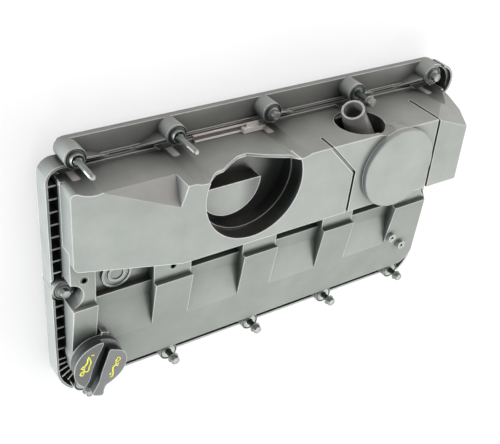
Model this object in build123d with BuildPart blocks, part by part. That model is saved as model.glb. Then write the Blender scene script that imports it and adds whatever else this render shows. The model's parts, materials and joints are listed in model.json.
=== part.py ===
from build123d import *
import os
from math import cos, pi, radians, sin

# Moulded engine valve cover with an integral oil separator, lengths in millimetres.
# The gasket face is z = 0 and the engine lies below it, x runs along the engine,
# y across it. The origin is the middle of the gasket face on the third pair of bolts.

# ---------------------------------------------------------------- driving sizes
bolt_pitch = 98.0          # one cylinder of the engine
corner_inset = 6.0         # first pair of bolts, in from the even pitch
end_bolt_y = -3.0
left_bolt_inset = 9.0      # end bolts, in from the flange ends
right_bolt_inset = 10.0

left_margin = 19.5         # flange ends beyond the even pitch
right_margin = 27.0
flange_half = 134.2
shoulder_drop = 15.7       # left end of the flange stops beside the first upper boss
flange_t = 6.4
lower_corner_r = 36.0
upper_corner_r = 14.0
right_corner_r = 22.0
rim_t = 2.2
lobe_shift = (10.0, -9.6)  # from the last upper bolt
lobe_r = 19.0
lobe_z = 24.0
end_rim_z = 20.0
lower_rim_z = 9.5

wall = 3.0
left_channel = 10.5        # from the flange ends to the body
right_channel = 9.0
body_corner_r = 26.0

pad_high_z = 42.0          # roof beside the step
pad_low_z = 26.0           # roof at its lower edge
roof_edge = 3.5            # rounding of the lower roof edge, as a bevel
step_y = -15.5             # step between the roof pads and the terrace
terrace_z = 37.0
deck_z = 24.0              # terrace of the bays and the deck under the dome
pier_reach = 14.0          # of the terrace under the dome
ledge_z = 8.0
foot_w = 3.5               # foot of the dome on the ledge
bead_gap = 2.5
bead_w = 2.5
bead_z = 8.5

first_pier = 23.0
bay_pitch = 95.7
bay_width = 57.0
bay_count = 4
bay_end_y = -67.0
bay_low_y = -31.0
bay_low_z = 28.0
bay_step_z = 31.0

rib_pitch = 12.5
rib_margin = 6.5           # first rib, from the high side of the dome
rib_end_margin = 28.0      # last rib, from the low side of the body
rib_t = 1.4
rib_z = 17.5
fan_count = 5
fan_r = 31.0
fan_length = 12.0

seat_lower_z = 18.5        # boss tops, under the washers
seat_upper_z = 22.5
boss_r = 9.6
end_relief = 3.5           # room round the two end bosses
gusset_t = 1.6
gusset_reach = (37.0, 13.8)
gusset_sides = [1, -1, 1, 1, -1]

dome_offset = 17.6         # from the upper bolts to the high side of the dome
dome_width = 77.0
dome_foot_z = 12.0
dome_face_z = 75.0
dome_slope_shift = 20.0    # the face falls away to the left of here, from the second bolt
dome_left_z = 45.5
dome_right_inset = 11.0    # right edge of the face
dome_right_z = 52.0
scallop_r = 20.0

dome_wall = 3.5
bevel_low_z = 53.3
bevel_rate = 1.07
bevel_overlap = 2.0
groove_w = 3.0
groove_depth = 2.2
groove_shifts = [(-83.1, 0.0), (-52.5, -33.1), (-55.0, -87.0)]   # from the valve cover, the edge
groove_lean = 2.1          # of its end on the side of the dome
block_shift = 35.0         # end block, from the last upper bolt
corner_setback = 16.0      # slanted corner of the end block
sill = [(-49, 1), (-45.8, -1.3), (-35.4, -9.8), (-27, -11.4), (-12.7, -20.5), (-4.5, -24.7),
        (4.9, -25.6), (15.9, -18.2), (29.8, -10.4), (37.8, -6.6), (45, 1)]   # from pocket and face

pocket_shift = 50.0        # from the second upper bolt
pocket_setback = 21.0      # from the high side of the dome
pocket_r = 49.5
pocket_step_z = 59.0
pocket_step_r = 47.8
pocket_floor_z = 46.0
plateau_shift = 16.0
plateau_r = 30.5
plateau_z = 60.0
plateau_flat = 1.0         # its cut side, from the middle of the pocket

well_shift = 12.0          # from the fourth upper bolt
well_z = 46.0
well_r = 24.5
well_depth = 23.0

pipe_r = 11.0              # where the hose seats
pipe_elbow_r = 12.0
pipe_wall = 1.8
pipe_foot = 2.0
pipe_root_shift = (11.0, -1.0)
pipe_bend_shift = (-10.8, 22.4, -6.4)
pipe_mouth_axis = (-0.45, 0.85, 0.20)
pipe_mouth_length = 15.0
seal_half_w = 0.9
seal_t = 1.7

disc_shift = 17.0          # from the fourth upper bolt
disc_setback = 40.0        # from the high side of the dome
disc_r = 41.2
disc_t = 6.0
band_low_z = 62.0
disc_wall = 2.5
film_t = 1.2
chamber_r = 14.0
chamber_depth = 15.0
seat_tube_r = 6.0
seat_tube_h = 6.0
valve_r = 12.0
valve_t = 4.0
spring_r = 9.5
spring_wire_r = 0.8
spring_turns = 4
baffle_x = 20.0
baffle_t = 2.0
baffle_top_gap = 9.0
baffle_low_gap = 2.0
baffle_high_gap = 5.5

cap_left = 19.7            # filler axis from the body sides
cap_low = 37.7
cap_r = 28.0
cap_skirt_z = 38.5
cap_disc_z = 45.0
cap_grip_z = 52.0
cap_disc_t = 2.0
cap_turn = 15.4            # degrees the grip is turned from the short axis
grip_gap_low = 0.0
grip_gap_high = 2.0
neck_r = 21.0
neck_bore_r = 16.0
neck_groove_r = 18.4
neck_top_z = 42.0

washer_r = 9.5
washer_t = 1.5
shank_r = 3.0              # M6
shank_below = 11.0         # thread below the gasket face when seated
head_af = 8.0
head_h = 5.0
head_flange_r = 5.6
head_flange_t = 1.5
stud_r = 2.65
stud_z = 57.0
row_lift = 9.5             # lower bolts as delivered, pushed up
free_lift = 17.0           # the one upper bolt pushed up

sleeve_r = 4.3
bolt_clearance = 0.08      # radial, shank in sleeve
fit_gap = 0.3              # between faces that only come near each other

grommet_r = 6.9
clip_start = 23.0          # from the second upper bolt
clip_end = 1.0             # before the third
clip_t = 1.3
clip_hem_z = 9.0
clip_lip_z = 15.5
press_gap = 0.08           # radial, between parts pushed into each other

opening_insets = (17.25, 18.75, 7.5, 0.5)   # left, right, low and high, from the body sides
gasket_w = 4.0
gasket_depth = 4.0
gasket_border = 6.5        # from the opening to the outside of the gasket
gasket_corner_r = 18.0

insert_shifts = [(12.4, 12.0), (19.6, -2.0)]   # from the left side of each pier, and y
insert_r = 3.8
insert_bore_r = 2.5
insert_length = 10.0
plug_shift = 25.0          # from the left side of the first bay
plug_r = 14.5
plug_stem_r = 9.7
screw_bosses = [(46.0, -57.5, 40.0), (27.5, -74.0, 38.0)]   # from the right side, y and top
screw_boss_r = 4.5
screw_hole_r = 1.8
plug_t = 2.5
plug_recess = 1.0
plug_ring_w = 2.0
passage_insets = (55.0, 64.0)   # gas passages, in from the body ends
passage_inset_y = 30.0     # from the low side of the dome
passage_size = (30.0, 15.0)

lug_foot_z = 30.0
lug_low_z = 27.0
lug_top_z = 31.0
lug_half_w = 6.0

# ---------------------------------------------------------------- derived places
row_x = [bolt_pitch * k for k in range(-2, 3)]
flange_left = left_margin - row_x[0]
flange_right = right_margin + row_x[4]
row_x[0] = row_x[0] + corner_inset
bolt_row_y = flange_half - boss_r
lower_bolts = [(x, -bolt_row_y) for x in row_x]
upper_bolts = [(x, bolt_row_y) for x in row_x]
end_bolts = [(left_bolt_inset - flange_left, end_bolt_y),
             (flange_right - right_bolt_inset, end_bolt_y)]
all_bolts = lower_bolts + upper_bolts + end_bolts
upper_seats = upper_bolts + end_bolts
flange_shoulder = flange_half - shoulder_drop
lobe_centre = (row_x[4] + lobe_shift[0], bolt_row_y + lobe_shift[1])

body_left = flange_left - left_channel
body_right = flange_right - right_channel
body_low_y = boss_r - bolt_row_y
dome_high_y = bolt_row_y - dome_offset
dome_low_y = dome_high_y - dome_width
body_top_y = dome_high_y - wall
foot_y = dome_high_y + foot_w
terrace_end_y = dome_low_y + pier_reach
bay_first_x = first_pier - body_left
roof_slope = (pad_high_z - pad_low_z) / (step_y - (body_low_y + roof_edge))

dome_slope_x = row_x[1] - dome_slope_shift
dome_right_x = body_right - dome_right_inset
bevel_end_x = dome_slope_x + bevel_overlap
block_x = row_x[4] - block_shift
pocket_x = row_x[1] + pocket_shift
pocket_y = dome_high_y - pocket_setback
plateau_x = pocket_x - plateau_shift
plateau_flat_y = pocket_y + plateau_flat
well_x = row_x[3] - well_shift
well_floor_y = dome_high_y - well_depth
pipe_root = (well_x + pipe_root_shift[0], well_floor_y, well_z + pipe_root_shift[1])
pipe_bend = tuple(a + b for a, b in zip(pipe_root, pipe_bend_shift))
disc_x = row_x[3] + disc_shift
disc_y = dome_high_y - disc_setback
disc_z = dome_face_z + disc_t
chamber_low_z = dome_face_z - chamber_depth
seat_tube_z = chamber_low_z + seat_tube_h
groove = [(disc_x + x, dome_high_y + y) for x, y in groove_shifts]
sill_line = [(pocket_x + x, dome_face_z + z) for x, z in sill]

cap_x = cap_left - body_left
cap_y = body_low_y + cap_low
clip_from_x = row_x[1] + clip_start
clip_to_x = row_x[2] - clip_end

opening_left = opening_insets[0] - body_left
opening_right = body_right - opening_insets[1]
opening_low = body_low_y + opening_insets[2]
opening_high = body_top_y - opening_insets[3]
opening_centre = ((opening_left + opening_right) / 2, (opening_low + opening_high) / 2)
opening_size = (opening_right - opening_left, opening_high - opening_low)


def cap_plane(z):
    """Plane on the filler axis with its x along the grip of the cap."""
    turn = radians(cap_turn)
    return Plane(origin=(cap_x, cap_y, z), x_dir=(-sin(turn), -cos(turn), 0), z_dir=(0, 0, 1))


def gasket_size(inset):
    """Length and width of the gasket outline, drawn in by inset."""
    grow = 2 * (gasket_border - inset)
    return opening_size[0] + grow, opening_size[1] + grow


def roof_z(y):
    """Height of the sloping roof pads at y."""
    return pad_high_z - roof_slope * (step_y - y)


def across(points, x_from, x_to):
    """A solid with this y-z outline between two x places."""
    with BuildPart() as block:
        with BuildSketch(Plane.YZ.offset(x_from)):
            with BuildLine():
                Polyline(*points, close=True)
            make_face()
        extrude(amount=x_to - x_from)
    return block.part


def along(points, y_from, y_to):
    """A solid with this x-z outline between two y places."""
    with BuildPart() as block:
        with BuildSketch(Plane.XZ.offset(-y_to)):
            with BuildLine():
                Polyline(*points, close=True)
            make_face()
        extrude(amount=y_to - y_from)
    return block.part


def upright(places, radius, z_from, z_to):
    """Round columns at these places."""
    with BuildPart() as columns:
        with BuildSketch(Plane.XY.offset(z_from)):
            with Locations(*places):
                Circle(radius)
        extrude(amount=z_to - z_from)
    return columns.part


def plate(x_from, x_to, y_from, y_to, z_from, z_to):
    """A plain block between six faces."""
    with BuildPart() as block:
        with BuildSketch(Plane.XY.offset(z_from)):
            with Locations(((x_from + x_to) / 2, (y_from + y_to) / 2)):
                Rectangle(x_to - x_from, y_to - y_from)
        extrude(amount=z_to - z_from)
    return block.part


def body_plan(inset):
    """Tall block on the plan of the raised body, with its two rounded lower corners."""
    left, right = -body_left + inset, body_right - inset
    low, high = body_low_y + inset, body_top_y - inset
    with BuildPart() as block:
        with BuildSketch() as plan:
            with BuildLine():
                Polyline((left, low), (right, low), (right, high), (left, high), close=True)
            make_face()
            fillet(plan.vertices().group_by(Axis.Y)[0], body_corner_r - inset)
        extrude(amount=pad_high_z + 10)
    return block.part


def gusset(boss, side):
    """A thin triangular web from an upper boss down to the ledge, to one side of it."""
    reach_x, reach_y = side * gusset_reach[0], -gusset_reach[1]
    plane = Plane(origin=(*boss, 0), x_dir=(reach_x, reach_y, 0), z_dir=(-reach_y, reach_x, 0))
    run = (reach_x ** 2 + reach_y ** 2) ** 0.5
    up = plane.y_dir.Z
    with BuildPart() as web:
        with BuildSketch(plane):
            with BuildLine():
                Polyline((boss_r - 2, up * (flange_t - 1)), (run, up * (flange_t - 1)),
                         (run, up * flange_t), (boss_r - 2, up * (seat_upper_z - 1)), close=True)
            make_face()
        extrude(amount=gusset_t / 2, both=True)
    return web.part


def flange_outline(inset):
    """Closed flange outline without the bolt bosses, drawn in by inset."""
    left, right = -flange_left + inset, flange_right - inset
    low, high = -flange_half + inset, flange_half - inset
    with BuildSketch() as outline:
        with BuildLine():
            FilletPolyline(
                (left, low), (right, low), (right, high), (left, high),
                radius=[lower_corner_r - inset, lower_corner_r - inset,
                        right_corner_r - inset, upper_corner_r - inset],
                close=True,
            )
        make_face()
        shoulder_x = upper_bolts[0][0]
        with Locations(((left - 10 + shoulder_x) / 2, flange_shoulder + 50 - inset)):
            Rectangle(shoulder_x - left + 10, 100, mode=Mode.SUBTRACT)
        corner = outline.vertices().group_by(Axis.X)[0].sort_by(Axis.Y)[-1]
        fillet(corner, upper_corner_r - inset)
    return outline.sketch


# ---------------------------------------------------------------- cover body
def bay_floor(lift, grow):
    """y-z outline of a bay, lowered by lift and drawn in by grow, up to above the roof."""
    return [
        (bay_end_y - grow, roof_z(bay_end_y) - lift),
        (bay_low_y, bay_low_z - lift),
        (step_y - grow, bay_step_z - lift),
        (step_y - grow, deck_z - lift),
        (terrace_end_y + grow, deck_z - lift),
        (terrace_end_y + grow, pad_high_z + wall),
        (bay_end_y - grow, pad_high_z + wall),
    ]


bays = [(bay_first_x + bay_pitch * k, bay_first_x + bay_pitch * k + bay_width)
        for k in range(bay_count)]
pier_edges = [-body_left] + [x for bay in bays for x in bay] + [body_right]
piers = list(zip(pier_edges[0::2], pier_edges[1::2]))
insert_places = [(pier[0] + x, y) for pier, (x, y) in zip(piers, insert_shifts)]
plug_place = (bays[0][0] + plug_shift, 0)
passage_places = (passage_insets[0] - body_left, body_right - passage_insets[1])

with BuildPart() as cover_body:
    # flange plate with the strip that carries the upper bolts
    with BuildSketch():
        add(flange_outline(0))
        with Locations(*upper_bolts):
            Circle(boss_r)
    extrude(amount=flange_t)

    # rims: tall at both ends, low along the lower side
    with BuildSketch(Plane.XY.offset(flange_t)):
        add(flange_outline(0))
        add(flange_outline(rim_t), mode=Mode.SUBTRACT)
    extrude(amount=end_rim_z - flange_t)
    add(plate(lower_bolts[0][0] - boss_r - 1, lower_bolts[-1][0] + boss_r + 1,
              -flange_half - 5, body_low_y - 5, lower_rim_z, end_rim_z + 5),
        mode=Mode.SUBTRACT)
    add(plate(-body_left + 14, upper_bolts[-1][0], flange_shoulder - 1, flange_half + 5,
              flange_t, end_rim_z + 5), mode=Mode.SUBTRACT)
    with BuildSketch(Plane.XY.offset(flange_t)):
        with Locations(lobe_centre):
            Circle(lobe_r)
            Circle(lobe_r - rim_t, mode=Mode.SUBTRACT)
        with Locations((lobe_centre[0] - 50 + 4, lobe_centre[1])):
            Rectangle(100, 100, mode=Mode.SUBTRACT)
    extrude(amount=lobe_z - flange_t)

    # raised body with the sloping roof and its right shoulder
    roof = [
        (body_low_y, 0), (body_low_y, pad_low_z - roof_edge),
        (body_low_y + roof_edge, pad_low_z), (step_y, pad_high_z),
        (step_y, terrace_z), (terrace_end_y, terrace_z),
        (terrace_end_y, deck_z), (body_top_y, deck_z), (body_top_y, 0),
    ]
    with BuildPart(mode=Mode.PRIVATE) as raised:
        add(across(roof, -body_left, body_right))
        add(body_plan(0), mode=Mode.INTERSECT)
    add(raised.part)
    shoulder = 11.0
    right_shoulder = [
        (body_right - shoulder, pad_high_z), (body_right, pad_high_z - shoulder * 1.3),
        (body_right + 5, pad_high_z + 5),
    ]
    add(along(right_shoulder, body_low_y - 1, terrace_end_y), mode=Mode.SUBTRACT)
    for bay_from, bay_to in bays:
        add(across(bay_floor(0, 0), bay_from, bay_to), mode=Mode.SUBTRACT)

    # foot for the dome along the upper side, and the bead beyond it
    add(plate(-body_left, body_right, body_top_y, foot_y, 0, ledge_z))
    add(plate(upper_bolts[0][0], upper_bolts[-1][0] + 6, foot_y + bead_gap,
              foot_y + bead_gap + bead_w, flange_t, bead_z))

    # ribs across the end channels
    rib_first_y = dome_high_y - rib_margin
    rib_count = int((rib_first_y - body_low_y - rib_end_margin) / rib_pitch) + 1
    for index in range(rib_count):
        rib_y = rib_first_y - rib_pitch * index
        if abs(rib_y - end_bolt_y) > boss_r + 4:
            add(plate(-flange_left + 1, -body_left + 1, rib_y - rib_t / 2, rib_y + rib_t / 2,
                      flange_t, rib_z))
            add(plate(body_right - 1, flange_right - 1, rib_y - rib_t / 2, rib_y + rib_t / 2,
                      flange_t, rib_z))

    for corner_x, start in ((-body_left + body_corner_r, 180), (body_right - body_corner_r, 270)):
        with BuildSketch(Plane.XY.offset(flange_t)):
            with Locations((corner_x, body_low_y + body_corner_r)):
                with PolarLocations(fan_r, fan_count, start + 8, 64):
                    Rectangle(fan_length, rib_t)
        extrude(amount=rib_z - flange_t)

    # bolt bosses, with room round the two end bosses
    add(upright(end_bolts, boss_r + end_relief, end_rim_z - 2, pad_high_z + 10), mode=Mode.SUBTRACT)
    add(upright(lower_bolts, boss_r, 0, seat_lower_z))
    add(upright(upper_seats, boss_r, 0, seat_upper_z))
    # gussets from the upper bosses down to the ledge
    for boss, side in zip(upper_bolts, gusset_sides):
        add(gusset(boss, side))

    # filler neck
    add(upright([(cap_x, cap_y)], neck_r, flange_t, neck_top_z))

    with BuildSketch(cap_plane(lug_foot_z)):
        with Locations((-neck_r - 1, 4)):
            Rectangle(9, 7)
    extrude(amount=cap_skirt_z - fit_gap - lug_foot_z)

    # cavity, open to the engine, wider above the flange plate
    cavity_low_y = body_low_y + wall
    cavity_high_y = body_top_y - wall
    inner_roof = [
        (cavity_low_y, flange_t), (cavity_low_y, pad_low_z - roof_edge - wall),
        (cavity_low_y + roof_edge, pad_low_z - wall), (step_y - wall, roof_z(step_y - wall) - wall),
        (step_y - wall, terrace_z - wall), (terrace_end_y - wall, terrace_z - wall),
        (terrace_end_y - wall, deck_z - wall), (cavity_high_y, deck_z - wall),
        (cavity_high_y, flange_t),
    ]
    with BuildPart(mode=Mode.PRIVATE) as cavity:
        add(across(inner_roof, -body_left + wall, body_right - wall))
        add(body_plan(wall), mode=Mode.INTERSECT)
        add(along([(x - wall, z - wall) for x, z in right_shoulder],
                  body_low_y, terrace_end_y), mode=Mode.SUBTRACT)
        for bay_from, bay_to in bays:
            add(across(bay_floor(wall, wall), bay_from - wall, bay_to + wall),
                mode=Mode.SUBTRACT)
        add(upright(end_bolts, boss_r + end_relief + wall, flange_t, pad_high_z),
            mode=Mode.SUBTRACT)
        add(upright([(cap_x, cap_y)], neck_r, 20, pad_high_z), mode=Mode.SUBTRACT)
    add(cavity.part, mode=Mode.SUBTRACT)
    with BuildSketch():
        with Locations(opening_centre):
            RectangleRounded(*opening_size, 12)
    extrude(amount=flange_t, mode=Mode.SUBTRACT)

    # gas passages through the deck into the dome
    passage_y = dome_low_y + passage_inset_y
    for passage_x in passage_places:
        add(plate(passage_x - passage_size[0] / 2, passage_x + passage_size[0] / 2, passage_y,
                  passage_y + passage_size[1], deck_z - wall - 1, deck_z + 1),
            mode=Mode.SUBTRACT)

    # groove for the gasket round the opening
    with BuildSketch():
        with Locations(opening_centre):
            RectangleRounded(*gasket_size(0), gasket_corner_r)
            RectangleRounded(*gasket_size(gasket_w), gasket_corner_r - gasket_w,
                             mode=Mode.SUBTRACT)
    extrude(amount=gasket_depth, mode=Mode.SUBTRACT)

    # bosses for the inserts and screws, and their holes
    add(upright(insert_places, insert_r + 2.4, terrace_z - insert_length - 2, terrace_z))
    for screw_inset, screw_y, screw_z in screw_bosses:
        place = (body_right - screw_inset, screw_y)
        add(upright([place], screw_boss_r, roof_z(screw_y) - wall, screw_z))
        add(upright([place], screw_hole_r, screw_z - 8, screw_z + 1),
            mode=Mode.SUBTRACT)
    add(upright(insert_places, insert_r + press_gap, terrace_z - insert_length - 0.3,
                terrace_z + 1), mode=Mode.SUBTRACT)
    add(upright([plug_place], plug_stem_r + press_gap, deck_z - wall - 1, deck_z + 1),
        mode=Mode.SUBTRACT)

    # bores for the bolts, and the neck with its bayonet groove
    add(upright(all_bolts, grommet_r + press_gap, -1, seat_upper_z + 1), mode=Mode.SUBTRACT)
    add(upright([(cap_x, cap_y)], neck_bore_r, 10, neck_top_z + 1), mode=Mode.SUBTRACT)
    add(upright([(cap_x, cap_y)], neck_groove_r, lug_low_z - 0.5, lug_top_z + 0.5),
        mode=Mode.SUBTRACT)
    with BuildSketch(cap_plane(lug_low_z)):
        Circle(neck_groove_r)
        Rectangle(2 * lug_half_w + 2, 60, mode=Mode.INTERSECT)
    extrude(amount=neck_top_z, mode=Mode.SUBTRACT)
cover_body.part.label = "cover_body"


# ---------------------------------------------------------------- separator dome
slope_rate = (dome_face_z - dome_left_z) / (body_left + dome_slope_x)


def dome_profile(inset):
    """x-z outline of the dome over the deck, drawn in by inset."""
    left, right, top = -body_left + inset, body_right - inset, dome_face_z - inset
    slope_end_z = dome_left_z - inset + slope_rate * inset
    return [
        (left, deck_z), (left, slope_end_z), (dome_slope_x, top), (dome_right_x, top),
        (right, dome_right_z), (right, deck_z),
    ]


def dome_plan(inset):
    """x-y outline of the dome, drawn in by inset."""
    with BuildSketch(Plane.XY.offset(deck_z)) as plan:
        with BuildLine():
            FilletPolyline(
                (-body_left + inset, dome_low_y + inset), (body_right - inset, dome_low_y + inset),
                (body_right - inset, dome_high_y - inset), (-body_left + inset, dome_high_y - inset),
                radius=[5.0, 15.0 - inset, 5.0, 5.0], close=True,
            )
        make_face()
    return plan.sketch


def dome_wedge(inset):
    """The bevel over the left upper edge of the dome, moved in by inset."""
    low_y, low_z = dome_high_y - inset, bevel_low_z - inset * 0.4
    rise = bevel_rate * 40
    wedge = across([(low_y + 10, low_z - 10 * bevel_rate), (low_y - 40, low_z + rise),
                    (low_y + 10, low_z + rise)], -body_left - 10, bevel_end_x + 20)
    with BuildPart() as limit:
        with BuildSketch():
            with BuildLine():
                Polyline((-body_left - 20, dome_low_y + 10),
                         (bevel_end_x - 20 + inset, dome_low_y + 10),
                         (bevel_end_x + 5 + inset, dome_high_y + 13),
                         (-body_left - 20, dome_high_y + 13), close=True)
            make_face()
        extrude(amount=150)
        add(wedge, mode=Mode.INTERSECT)
    return limit.part


def corner_plane(inset):
    """Plane of the slanted corner of the right block, moved in by inset."""
    p = Vector(block_x - 1, dome_high_y, dome_face_z)
    q = Vector(dome_right_x, dome_high_y - corner_setback, dome_face_z)
    r = Vector(body_right + 1, dome_high_y, deck_z)
    normal = (q - p).cross(r - p).normalized()
    return Plane(origin=p - normal * inset, x_dir=(q - p).normalized(), z_dir=normal)


def dome_solid(inset):
    """The closed form of the dome over the deck, drawn in by inset."""
    with BuildPart() as form:
        add(dome_plan(inset))
        extrude(amount=dome_face_z)
        add(along(dome_profile(inset), dome_low_y - 1, dome_high_y + 1), mode=Mode.INTERSECT)
        add(dome_wedge(inset), mode=Mode.SUBTRACT)
        split(bisect_by=corner_plane(inset), keep=Keep.BOTTOM)
    return form.part


def barrel(x, z, radius, y_from, y_to):
    """A round column that lies along y."""
    with BuildPart() as column:
        with BuildSketch(Plane.XZ.offset(-y_to)):
            with Locations((x, z)):
                Circle(radius)
        extrude(amount=y_to - y_from)
    return column.part


# room under the outer skin
with BuildPart() as dome_room:
    add(dome_solid(dome_wall))
    add(upright([(pocket_x, pocket_y)], pocket_r + wall, pocket_floor_z - wall, 100),
        mode=Mode.SUBTRACT)
    with BuildSketch(Plane.XY.offset(pocket_floor_z - wall - 1)):
        with Locations((plateau_x, pocket_y)):
            Circle(plateau_r - wall)
        with Locations((plateau_x, plateau_flat_y - wall + 50)):
            Rectangle(100, 100, mode=Mode.SUBTRACT)
    extrude(amount=plateau_z - pocket_floor_z + 1)
    add(barrel(well_x, well_z, well_r + wall, well_floor_y - wall, 120), mode=Mode.SUBTRACT)
    add(upright([(disc_x, disc_y)], chamber_r + wall, chamber_low_z - wall, 100),
        mode=Mode.SUBTRACT)

with BuildPart() as separator_cover:
    add(dome_solid(0))
    # skirt over the upper wall of the body, and the foot on the ledge
    add(plate(-body_left, body_right, body_top_y, dome_high_y, ledge_z, deck_z + 1))
    add(plate(-body_left, body_right, body_top_y, foot_y, ledge_z, dome_foot_z))
    # round seat of the valve cover
    add(upright([(disc_x, disc_y)], disc_r, band_low_z, dome_face_z))
    with BuildSketch(Plane.XY.offset(deck_z)):
        with Locations((disc_x, disc_y)):
            Circle(disc_r)
        with Locations((disc_x, disc_y + 50)):
            Rectangle(100, 100, mode=Mode.SUBTRACT)
    extrude(amount=band_low_z - deck_z)
    add(dome_room.part, mode=Mode.SUBTRACT)
    # clear of the piers that reach under the dome
    for pier_from, pier_to in piers:
        over_end = 2 if pier_from == -body_left or pier_to == body_right else 0
        add(plate(pier_from - over_end, pier_to + over_end, dome_low_y - 30, terrace_end_y,
                  0, terrace_z), mode=Mode.SUBTRACT)
    # round pocket with its ledge and plateau
    inside_y = dome_high_y - wall
    with BuildPart(mode=Mode.PRIVATE) as pocket:
        add(upright([(pocket_x, pocket_y)], pocket_r, pocket_step_z, dome_face_z + 2))
        add(upright([(pocket_x, pocket_y)], pocket_step_r, pocket_floor_z, pocket_step_z))
        add(plate(-250, 250, inside_y, inside_y + 100, 0, 100), mode=Mode.SUBTRACT)
        with BuildPart(mode=Mode.PRIVATE) as plateau:
            add(upright([(plateau_x, pocket_y)], plateau_r, pocket_floor_z - 1, plateau_z))
            add(plate(-250, 250, plateau_flat_y, plateau_flat_y + 100, 0, 100),
                mode=Mode.SUBTRACT)
        add(plateau.part, mode=Mode.SUBTRACT)
    add(pocket.part, mode=Mode.SUBTRACT)
    add(along(sill_line, inside_y - 0.1, dome_high_y + 5), mode=Mode.SUBTRACT)
    # sunk well of the breather
    add(barrel(well_x, well_z, well_r, inside_y, dome_high_y + 5), mode=Mode.SUBTRACT)
    with BuildPart(mode=Mode.PRIVATE) as well:
        add(barrel(well_x, well_z, well_r, well_floor_y, inside_y + 0.1))
        add(plate(well_x - 50, well_x + 50, well_floor_y - 1, inside_y + 1, 0,
                  deck_z + wall - 1), mode=Mode.SUBTRACT)
    add(well.part, mode=Mode.SUBTRACT)
    add(barrel(pipe_root[0], pipe_root[2], pipe_r - pipe_wall, well_floor_y - 10,
               well_floor_y + 1), mode=Mode.SUBTRACT)
    # chamber of the pressure control valve with its seat
    with BuildSketch(Plane.XY.offset(chamber_low_z)):
        with Locations((disc_x, disc_y)):
            Circle(chamber_r)
    extrude(amount=dome_face_z, mode=Mode.SUBTRACT)
    add(upright([(disc_x, disc_y)], seat_tube_r, chamber_low_z - 1, seat_tube_z))
    add(upright([(disc_x, disc_y)], seat_tube_r - 2, chamber_low_z - 10, seat_tube_z + 1),
        mode=Mode.SUBTRACT)
    # grooves of the face
    with BuildSketch(Plane.XY.offset(dome_face_z)):
        with BuildLine():
            Polyline((groove[0][0], dome_high_y + 2), *groove)
        trace(line_width=groove_w)
    extrude(amount=-groove_depth, mode=Mode.SUBTRACT)
    groove_sides = (groove[0][0] - groove_w / 2, groove[0][0] + groove_w / 2)
    add(along([(groove_sides[0], dome_face_z + 15), (groove_sides[1], dome_face_z + 15),
               (groove_sides[1] + groove_lean, dome_face_z - 20),
               (groove_sides[0] + groove_lean, dome_face_z - 20)],
              dome_high_y - 1.6, dome_high_y + 1), mode=Mode.SUBTRACT)
    add(plate(block_x, block_x + groove_w, dome_low_y - 10, dome_high_y + 13,
              dome_face_z - groove_depth, dome_face_z + 15), mode=Mode.SUBTRACT)
    add(plate(block_x, block_x + groove_w, dome_high_y - 1.6, dome_high_y + 13,
              deck_z + 6, dome_face_z + 15), mode=Mode.SUBTRACT)
    # room for the washers and the tool on the upper bolts
    add(upright(upper_bolts, scallop_r, ledge_z - 1, 100), mode=Mode.SUBTRACT)
separator_cover.part.label = "separator_cover"

# ---------------------------------------------------------------- pressure control valve
with BuildPart() as pcv_cover:
    add(upright([(disc_x, disc_y)], disc_r, dome_face_z, disc_z))
    fillet(pcv_cover.edges().group_by(Axis.Z)[-1], 1.2)
    add(upright([(disc_x, disc_y)], disc_r - disc_wall, dome_face_z - 1, dome_face_z + film_t),
        mode=Mode.SUBTRACT)
    add(upright([(disc_x, disc_y)], disc_r - 8, dome_face_z - 1, disc_z - disc_wall),
        mode=Mode.SUBTRACT)
pcv_cover.part.label = "pcv_cover"

with BuildPart() as pcv_diaphragm:
    add(upright([(disc_x, disc_y)], disc_r - disc_wall - fit_gap, dome_face_z,
                dome_face_z + film_t))
pcv_diaphragm.part.label = "pcv_diaphragm"

with BuildPart() as pcv_valve_plate:
    add(upright([(disc_x, disc_y)], valve_r, dome_face_z - valve_t, dome_face_z))
pcv_valve_plate.part.label = "pcv_valve_plate"

spring_low_z = chamber_low_z + spring_wire_r
spring_high_z = dome_face_z - valve_t - spring_wire_r
spring_steps = 12 * spring_turns
with BuildPart() as pcv_spring:
    for step in range(spring_steps + 1):
        turn = 2 * pi * step / 12
        rise = (spring_high_z - spring_low_z) * step / spring_steps
        point = (disc_x + spring_r * cos(turn), disc_y + spring_r * sin(turn), spring_low_z + rise)
        with BuildSketch(Plane(origin=point, x_dir=(0, 0, 1), z_dir=(-sin(turn), cos(turn), 0))):
            RegularPolygon(spring_wire_r, 6)
    loft(ruled=True)
pcv_spring.part.label = "pcv_spring"

# ---------------------------------------------------------------- separator baffle
with BuildPart() as separator_baffle:
    baffle_low_y = terrace_end_y + baffle_low_gap
    baffle_high_y = dome_high_y - dome_wall - baffle_high_gap
    add(plate(baffle_x, baffle_x + baffle_t, baffle_low_y, baffle_high_y, deck_z,
              dome_face_z - baffle_top_gap))
    with BuildSketch(Plane.YZ.offset(baffle_x)):
        with Locations(((baffle_low_y + baffle_high_y) / 2, deck_z + 20)):
            with GridLocations(14, 12, 3, 3):
                Circle(3)
    extrude(amount=baffle_t, mode=Mode.SUBTRACT)
separator_baffle.part.label = "separator_baffle"

# ---------------------------------------------------------------- breather
def bent_tube(radius, mouth_radius):
    """Two straight runs of round bar that meet in a ball."""
    lower = Vector(*pipe_bend) - Vector(*pipe_root)
    with BuildPart() as bar:
        with BuildSketch(Plane(origin=pipe_root, z_dir=lower)):
            Circle(radius)
        extrude(amount=lower.length)
        with Locations(pipe_bend):
            Sphere(radius)
        with BuildSketch(Plane(origin=pipe_bend, z_dir=pipe_mouth_axis)):
            Circle(mouth_radius)
        extrude(amount=pipe_mouth_length)
    return bar.part


def root_ring(radius, y_from, y_to):
    """Round column on the axis of the spout's root."""
    return barrel(pipe_root[0], pipe_root[2], radius, well_floor_y + y_from, well_floor_y + y_to)


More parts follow.
